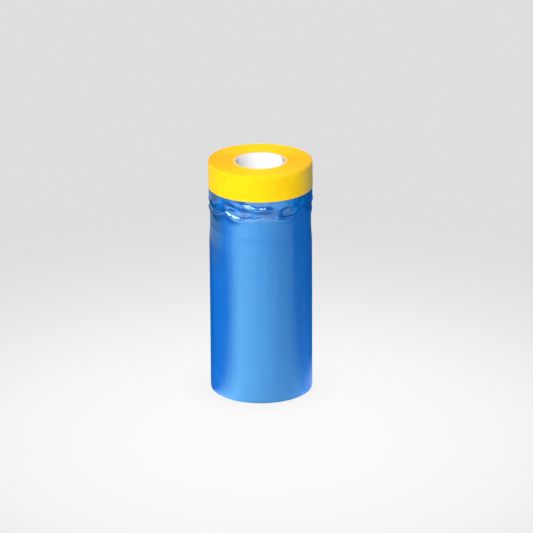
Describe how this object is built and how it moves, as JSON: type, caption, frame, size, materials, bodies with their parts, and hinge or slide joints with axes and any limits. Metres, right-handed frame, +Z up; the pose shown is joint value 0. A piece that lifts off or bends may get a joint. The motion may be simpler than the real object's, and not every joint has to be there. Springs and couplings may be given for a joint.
{
  "type": "pre-taped masking film roll",
  "caption": "Standing roll of pleated blue masking film wound with a yellow masking tape on a hollow paperboard core, with a free end that peels.",
  "frame": {"origin": "on the core's axis, in the plane of the end the roll stands on", "axes": "+Z up along the core's axis towards the taped end; the free end leaves the roll near +Y"},
  "size_m": [0.074, 0.074, 0.171],
  "materials": {
    "liner_paper": "smooth white paper",
    "core_board": "matte grey board",
    "cover_paper": "matte off-white paper",
    "tape_paper": "fine matte yellow tape paper",
    "adhesive": "tacky satin",
    "film": "satin translucent film"
  },
  "bodies": {
    "roll": {"core_liner": "liner_paper", "core_inner_board": "core_board", "core_outer_board": "core_board", "core_cover": "cover_paper", "tape_windings": "tape_paper", "tape_outer_turn": "tape_paper", "tape_adhesive": "adhesive", "film_windings": "film", "film_outer_turn": "film"},
    "free_end": {"tape_lead": "tape_paper", "tape_lead_adhesive": "adhesive", "film_lead": "film"}
  },
  "joints": [
    {"name": "free_end_peel", "type": "hinge", "parent": "roll", "child": "free_end", "pos_m": [0.00322, 0.03686, 0.0855], "axis": [0, 0, -1], "range_deg": [0, 120]}
  ]
}
